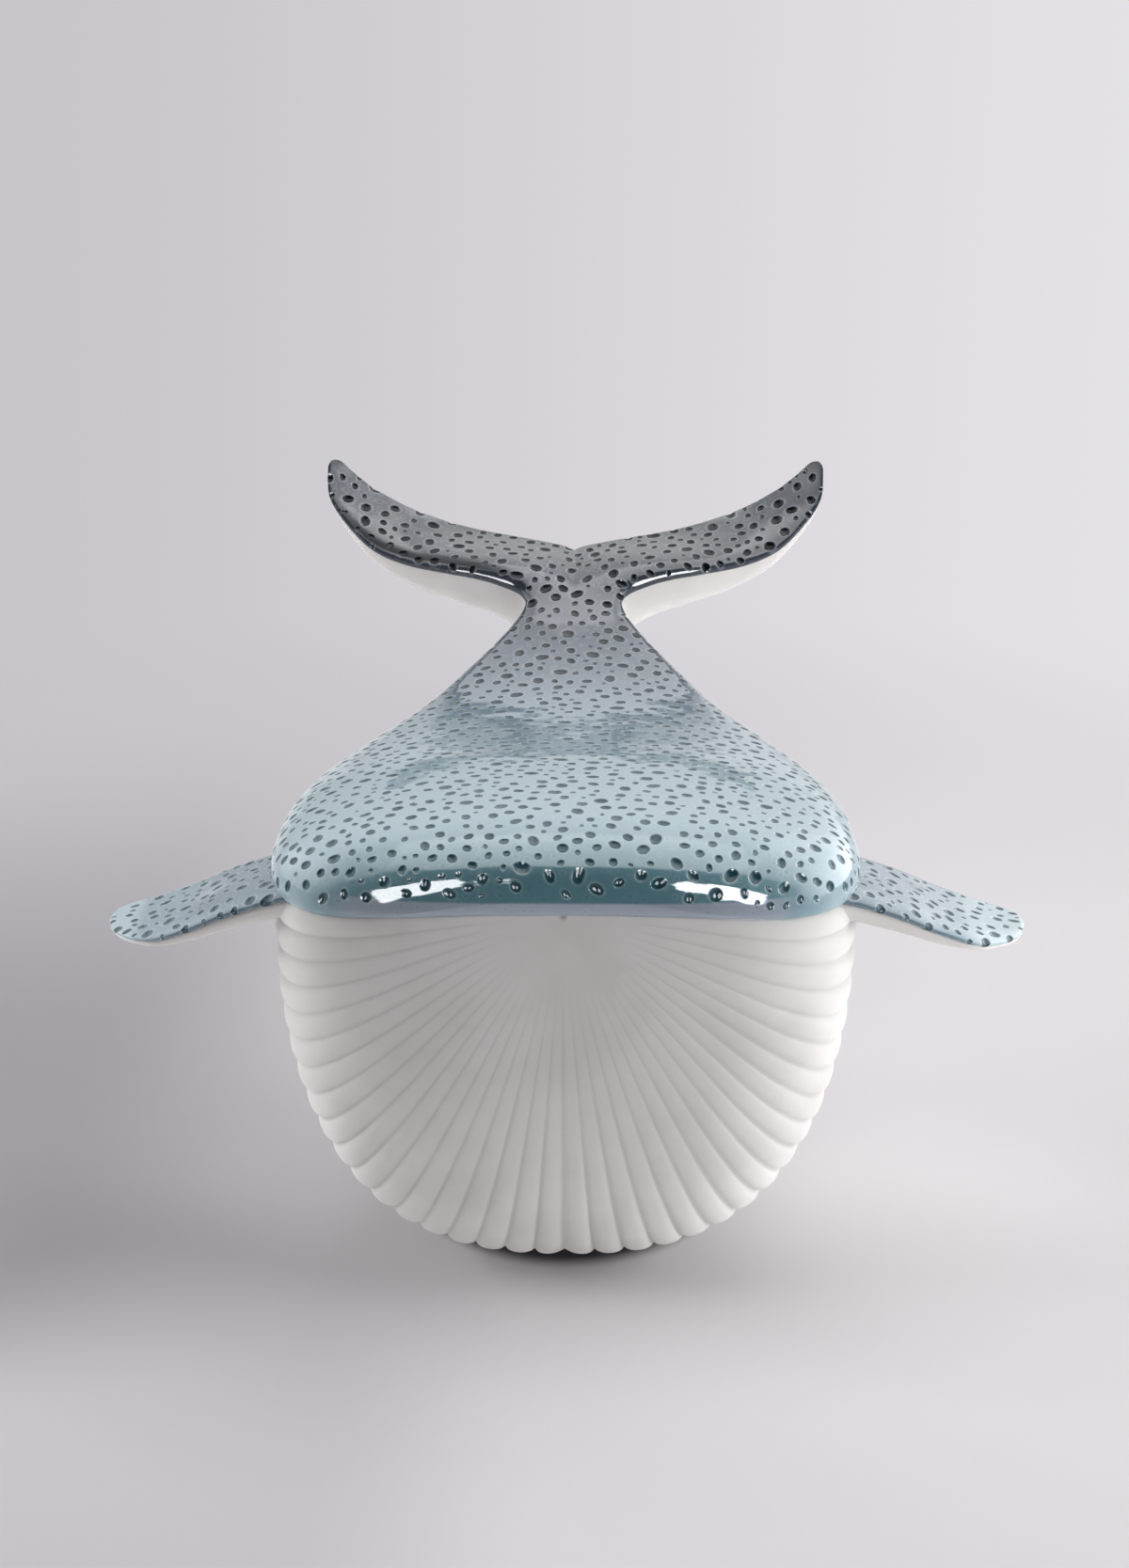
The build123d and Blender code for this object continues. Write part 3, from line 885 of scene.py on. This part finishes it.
# flippers, each with a glazed half above an unglazed one
flippers = {
    "span": 351.0, "rootWidth": 191.0, "rootLead": 26.0, "rootDrop": 6.0,
    "sweep": 58.0, "chord": 58.0, "droop": 28.0, "topThickness": 4.6,
    "underThickness": 9.2, "rim": 1.8, "edge": 1.2,
    "spans": [0.0, 0.169, 0.306, 0.438, 0.581, 0.744, 0.869, 0.950, 0.985, 1.0],
    "sweeps": [0.0, 0.069, 0.135, 0.197, 0.270, 0.345, 0.500, 0.650, 0.770, 0.870],
    "chords": [1.0, 1.0, 1.0, 1.0, 0.985, 0.945, 0.765, 0.545, 0.360, 0.180],
    "droops": [0.0, 0.136, 0.296, 0.471, 0.686, 0.875, 0.968, 0.996, 1.0, 1.0],
    "tops": [1.0, 1.0, 0.96, 0.90, 0.82, 0.70, 0.56, 0.40, 0.30, 0.16],
    "unders": [1.0, 1.0, 0.95, 0.86, 0.70, 0.47, 0.33, 0.22, 0.15, 0.07],
    "rows": 90, "columns": 64, "rimColumns": 5, "flatColumns": 3,
    "spreadHalf": 54, "spreadRise": 8, "roundness": 2.0,
    "tip": 1.5, "tipSteps": 5, "seed": 40, "steepest": 0.3,
}

finAngles = evenAngles(flippers["spreadHalf"], flippers["spreadRise"], flippers["roundness"],
                       flippers["columns"])
finRim = np.linspace(math.pi / 2, 0, flippers["rimColumns"])[:-1]
finFlat = np.linspace(0, 1, flippers["flatColumns"] + 1)[:-1]


def finPart(name, share):
    return along(flippers["spans"], flippers[name], share)


def flipperSection(share, side):
    # side is 1 for the upper half and -1 for the lower one
    share = np.atleast_1d(share)
    reach = (flippers["span"] - flippers["rootWidth"]) / 2
    x = flippers["rootWidth"] / 2 + reach * share
    y = flippers["rootLead"] + flippers["sweep"] * finPart("sweeps", share)
    z = body["lipHeight"] - flippers["rootDrop"] - flippers["droop"] * finPart("droops", share)
    lead = stack(x, y, z)[:, None]
    chord = (flippers["chord"] * finPart("chords", share))[:, None, None]
    way = np.array([0.0, 1.0, 0.0])
    tops = finPart("tops", share)
    height = (flippers["rim"] * tops)[:, None] * (side > 0)
    inset = (flippers["rim"] * tops)[:, None, None]
    thickness = flippers["topThickness"] * tops
    if side < 0:
        thickness = flippers["underThickness"] * finPart("unders", share)
    edge = (flippers["edge"] * tops)[:, None]
    skin = (1 - np.cos(finAngles))[None]
    lift = skinLift(skin, 1.0, thickness[:, None] - height, edge, flippers["roundness"])
    lift = height * (1 - skin) + lift
    base = lead + inset * way
    start = lead if side > 0 else base
    run = chord * way + lead - start
    curve = start + skin[..., None] * run + side * lift[..., None] * up
    corner = lead + chord * way
    flat = corner + (base - corner) * finFlat[:, None]
    turn = [turnedRim(lead, way, inset, height, finRim)] if side > 0 else []
    return np.concatenate([flat] + turn + [curve, corner], axis=1)


def makeFlippers(side, name, node, finish):
    def section(share):
        return flipperSection(share, side)

    def dimpled(face):
        return face.normal.z > flippers["steepest"]

    rows, _ = evenRows(section, 0, 1, flippers["rows"])
    points = capped(section(rows), flippers["tip"], flippers["tipSteps"])
    for hand, handName in ((1, "left"), (-1, "right")):
        skin = gridMesh(points * np.array([hand, 1, 1]), handName + name)
        bmesh.ops.remove_doubles(skin, verts=skin.verts, dist=weld)
        closed(skin)
        turnedOut(skin)
        keepNormals(skin)
        found = []
        if side > 0:
            found = scattered(skin, flippers["seed"] + hand, dimpled)
            press(skin, found)
        piece = finished(skin, handName + name, handName + "_" + node, finish)
        if found:
            mapPits(piece.data, found)


makeFlippers(1, "FlipperGlaze", "flipper_top", glazedFlipper)
makeFlippers(-1, "FlipperBiscuit", "flipper_under", biscuit)

# foot under the belly
foot = {"length": 88.0, "width": 76.0, "centre": 120.0, "top": 22.0, "vent": 9.0, "round": 1.0, "sides": 128}


def makeFoot():
    mesh = bmesh.new()
    outer = bmesh.ops.create_circle(mesh, segments=foot["sides"], radius=0.5)["verts"]
    bmesh.ops.scale(mesh, vec=(foot["width"] * mm, foot["length"] * mm, 1), verts=outer)
    bmesh.ops.create_circle(mesh, segments=foot["sides"], radius=foot["vent"] / 2 * mm)
    ring = bmesh.ops.bridge_loops(mesh, edges=mesh.edges[:])["faces"]
    grown = bmesh.ops.extrude_face_region(mesh, geom=ring)["geom"]
    raised = [item for item in grown if isinstance(item, bmesh.types.BMVert)]
    bmesh.ops.translate(mesh, vec=(0, 0, foot["top"] * mm), verts=raised)
    low = [edge for edge in mesh.edges if all(vert.co.z < weld for vert in edge.verts)
           and len({round(abs(face.normal.z)) for face in edge.link_faces}) > 1]
    bmesh.ops.bevel(mesh, geom=low, offset=foot["round"] * mm, segments=3, profile=0.5,
                    affect="EDGES", material=-1)
    bmesh.ops.translate(mesh, vec=(0, (foot["centre"] + shiftY) * mm, 0), verts=mesh.verts)
    turnedOut(mesh)
    finished(mesh, "ovalFoot", "belly_shell", biscuit, smooth=False)


makeFoot()

# paper behind and around the whale, as the camera sees it and as the glaze mirrors it; its fade from a darker
# left to a lighter right is painted light
backdrop = {
    "left": colour(199, 197, 201), "right": colour(229, 227, 232), "mirrored": colour(240, 240, 242),
    "floorFade": (-0.19, 0.19), "skyFade": (-0.3, 0.3),
    "from": 0.38, "to": 0.85,        # the floor turns into the backdrop between these radii
    "fan": 1.44,                     # on the floor the fade fans out from this far in front of the middle
}

# floor: painted light and shadow for the camera, pale for the porcelain above it and dark to it far in front,
# clear in front for the glaze
floorPaper = {
    "size": 9.0, "squares": 40, "roughness": 0.9, "shine": 0.1,
    "plain": colour(202, 199, 202), "lit": colour(233, 231, 233), "shade": colour(144, 142, 146),
    "dark": colour(70, 70, 73), "bounce": colour(252, 250, 252), "front": colour(40, 40, 42),
    "litSide": (-0.1, 0.22), "litSideShare": 0.5, "litFrontSide": (-0.09, 0.0), "litFront": (-0.16, -0.26),
    "litFrontShare": 0.55, "litPool": (0.07, -0.13), "litPoolFade": (0.20, 0.03), "litPoolShare": 0.9,
    "shadeSide": (-0.06, -0.22), "shadeSlope": 0.4, "shadeOffset": 0.08, "shadeFront": (-0.27, -0.12),
    "shadeBack": (0.65, 0.08), "shadeShare": 0.8,
    "shadowPlace": (0.0, -0.045), "shadowHalf": (0.068, 0.092), "shadowFade": (1.04, 0.9),     # painted shadow under the belly
    "frontFade": (-0.36, -0.6), "clearFade": (-0.3, -0.5),
}


def makeFloor(look):
    mesh = bmesh.new()
    bmesh.ops.create_grid(mesh, x_segments=look["squares"], y_segments=look["squares"], size=look["size"])
    data = bpy.data.meshes.new("floor")
    mesh.to_mesh(data)
    mesh.free()
    made, sheet = material("floorPaper")
    _, x, y, _ = sheet.place()
    direct, mirroredRay = sheet.seenBy("Is Camera Ray"), sheet.seenBy("Is Glossy Ray")

    def awayFrom(middle, half):
        # distance from a place, in half widths
        across, ahead = (x - middle[0]) / half[0], (y - middle[1]) / half[1]
        return (across * across + ahead * ahead) ** 0.5

    # painted light on the right and in front, a painted pool of light and a painted shadow to the left
    side = sheet.ease(x, *look["litSide"]) * look["litSideShare"]
    front = sheet.ease(x, *look["litFrontSide"]) * sheet.ease(y, *look["litFront"])
    lit = sheet.math("MAXIMUM", side, front * look["litFrontShare"])
    tint = sheet.mix(lit, look["plain"], look["lit"])
    pool = sheet.ease(awayFrom(look["litPool"], (1, 1)), *look["litPoolFade"])
    tint = sheet.mix(pool * look["litPoolShare"], tint, look["lit"])
    slant = y - x * look["shadeSlope"] - look["shadeOffset"]
    shade = sheet.ease(x, *look["shadeSide"]) * sheet.ease(slant, *look["shadeFront"])
    shade = shade * sheet.ease(y, *look["shadeBack"])
    tint = sheet.mix(shade * look["shadeShare"], tint, look["shade"])
    # painted shadow under the belly
    under = sheet.ease(awayFrom(look["shadowPlace"], look["shadowHalf"]), *look["shadowFade"])
    tint = sheet.mix(under, tint, look["dark"])
    bounce = sheet.mix(sheet.ease(y, *look["frontFade"]), look["bounce"], look["front"])
    paper = sheet.node("ShaderNodeBsdfPrincipled", {}, {
        "Base Color": sheet.mix(direct, bounce, tint), "Roughness": look["roughness"],
        "Specular IOR Level": look["shine"]})

    aside = x / (sheet.math("MAXIMUM", y, -1.0) + backdrop["fan"])
    paint = sheet.mix(sheet.ease(aside, *backdrop["floorFade"]), backdrop["left"], backdrop["right"])
    paint = sheet.mix(mirroredRay, paint, backdrop["mirrored"])
    painted = sheet.node("ShaderNodeEmission", {}, {"Color": paint, "Strength": 1.0})
    away = sheet.ease((x * x + y * y) ** 0.5, backdrop["from"], backdrop["to"])
    both = sheet.blend(away * sheet.math("MAXIMUM", direct, mirroredRay), paper, painted)
    clear = sheet.ease(y, *look["clearFade"]) * mirroredRay
    sheet.surface(sheet.blend(clear, both, sheet.node("ShaderNodeBsdfTransparent")))
    data.materials.append(made)
    placed("floor", data)


# softboxes and glowing walls that only the glaze mirrors: azimuth from the front towards +X, elevation,
# tilt, half width and half height in degrees, strength and softness of the edge
mirroredLights = {
    "leftBox": (-21, 5, -14, 14, 23, 20.0, 0.06),
    "rightBox": (24, 5, 10, 15, 23, 24.0, 0.06),
    "leftWall": (-104, 18, 0, 40, 30, 1.5, 0.8),
    "rightWall": (106, 10, 0, 44, 26, 2.8, 0.8),
}

glowShape = {
    "power": 1.3,        # 1 is a lozenge, 2 an oval
    "wobble": 0.5, "wobbleScale": 7, "facing": (0.1, 0.2), "leastFacing": 0.05,
}


def makeGlow(sheet, way, azimuth, elevation, tilt, halfAcross, halfUp, strength, soft):
    # one light of the mirrored studio, bright where the direction falls inside its outline
    azimuth, elevation = math.radians(azimuth), math.radians(elevation)
    centre = Vector((math.sin(azimuth) * math.cos(elevation), -math.cos(azimuth) * math.cos(elevation),
                     math.sin(elevation)))
    side = Quaternion(centre, math.radians(tilt)) @ Vector((math.cos(azimuth), math.sin(azimuth), 0))
    towards, aside, above = (sheet.vectorMath("DOT_PRODUCT", way, axis)
                             for axis in (centre, side, centre.cross(side)))
    near = sheet.math("MAXIMUM", towards, glowShape["leastFacing"])
    across = sheet.math("ABSOLUTE", aside / near) / math.tan(math.radians(halfAcross))
    upward = sheet.math("ABSOLUTE", above / near) / math.tan(math.radians(halfUp))
    wobble = (sheet.noise(way, glowShape["wobbleScale"], 1) - 0.5) * glowShape["wobble"]
    edge = across ** glowShape["power"] + upward ** glowShape["power"] + wobble
    return sheet.ease(edge, 1 + soft, 1 - soft) * sheet.ease(towards, *glowShape["facing"]) * strength


# light on matt surfaces, by the parts of its direction
sky = {
    "side": (0.28, 0.275, 0.285, 1), "front": (0.03, 0.03, 0.032, 1), "top": (0.32, 0.315, 0.325, 1),
    "topFade": (0.2, 0.9), "frontFade": (-0.1, -0.8),
}

# what the glaze mirrors: pale walls low down, a bright ceiling above, a dark room in front; each by a
# part of the direction, from where to where it changes and between which strengths
tent = {
    "walls": (-0.2, 0.3, 0.66, 1.04), "farRight": (0.22, 0.4, 0.0, 0.9), "ceiling": (-0.02, 0.8, 0.0, 1.4),
    "horizon": (0.16, 0.04, 0.0, 0.18), "horizonSide": (-0.22, -0.08),
    "overhead": (0.84, 0.95, 0.0, 2.4), "overheadWide": (0.36, 0.2, 0.0, 0.09),
    "behind": (-0.6, -0.1, 0.4, 1.0), "tint": 1.02,
    "room": 0.12, "roomSlope": 0.36, "roomEdge": (-0.09, 0.07), "roomWide": 0.5, "roomSides": (-0.02, 0.1),
}


def makeSky():
    world = bpy.data.worlds.new("studio")
    bpy.context.scene.world = world
    sheet = Sheet(world)
    way, x, y, z = sheet.place("Generated")
    matt = sheet.mix(sheet.ease(z, *sky["topFade"]), sky["side"], sky["top"])
    matt = sheet.mix(sheet.ease(y, *sky["frontFade"]), matt, sky["front"])
    wide = sheet.math("ABSOLUTE", x)
    glow = sheet.ease(x, *tent["walls"]) + sheet.ease(x, *tent["farRight"]) + sheet.ease(z, *tent["ceiling"])
    glow = glow + sheet.ease(z, *tent["horizon"]) * sheet.ease(x, *tent["horizonSide"])
    glow = glow + sheet.ease(z + sheet.ease(wide, *tent["overheadWide"]), *tent["overhead"])
    glow = glow * sheet.ease(y, *tent["behind"])
    front = sheet.ease(0 - y - z * tent["roomSlope"], *tent["roomEdge"])
    front = front * sheet.ease(0 - y - wide * tent["roomWide"], *tent["roomSides"])
    glow = glow + (tent["room"] - glow) * front
    for light in mirroredLights.values():
        glow = glow + makeGlow(sheet, way, *light)
    shine = sheet.node("ShaderNodeCombineColor", {}, {0: glow, 1: glow, 2: glow * tent["tint"]}).outputs[0]
    paper = sheet.mix(sheet.ease(x, *backdrop["skyFade"]), backdrop["left"], backdrop["right"])
    tone = sheet.mix(sheet.seenBy("Is Camera Ray"), matt, paper)
    tone = sheet.mix(sheet.seenBy("Is Glossy Ray"), tone, shine)
    sheet.surface(sheet.node("ShaderNodeBackground", {}, {"Color": tone, "Strength": 1.0}), "World")


# place, target, width, height and power in watts; the glaze doesn't mirror them
lamps = {
    "topBox": ((0.15, 0.25, 1.35), (0, 0.0, 0.1), 1.5, 1.3, 12.6),
    "keyBox": ((1.36, -0.14, 0.46), (0, -0.02, 0.10), 0.9, 0.8, 7.8),
    "lowBox": ((1.00, -0.45, 0.10), (0.05, -0.08, 0.05), 0.5, 0.2, 4.0),
    "sideBox": ((-1.3, -0.06, 0.60), (0, -0.05, 0.12), 0.8, 0.6, 8.5),
}


def makeLamp(name, place, target, width, height, power):
    light = bpy.data.lights.new(name, "AREA")
    light.shape = "RECTANGLE"
    light.size, light.size_y, light.energy = width, height, power
    lamp = placed(name, light)
    lamp.location = place
    lamp.rotation_euler = (Vector(target) - Vector(place)).to_track_quat("-Z", "Y").to_euler()
    lamp.visible_camera = False
    lamp.visible_glossy = False


# lens and sensor in mm, place in metres, angles in degrees
view = {
    "lens": 85, "sensor": 36, "nearest": 0.05, "farthest": 60,
    "place": (0.0195, -1.44, 0.6203), "tilt": 71.957, "turn": 0.864,
}


def makeCamera():
    data = bpy.data.cameras.new("camera")
    data.lens, data.sensor_width = view["lens"], view["sensor"]
    data.clip_start, data.clip_end = view["nearest"], view["farthest"]
    camera = placed("camera", data)
    camera.location = view["place"]
    camera.rotation_euler = (math.radians(view["tilt"]), 0, math.radians(view["turn"]))
    bpy.context.scene.camera = camera


makeFloor(floorPaper)
makeSky()
for lampName, settings in lamps.items():
    makeLamp(lampName, *settings)
makeCamera()
bpy.context.scene.view_settings.view_transform = "Standard"
print("studio: floor, sky,", len(lamps), "lamps and camera")
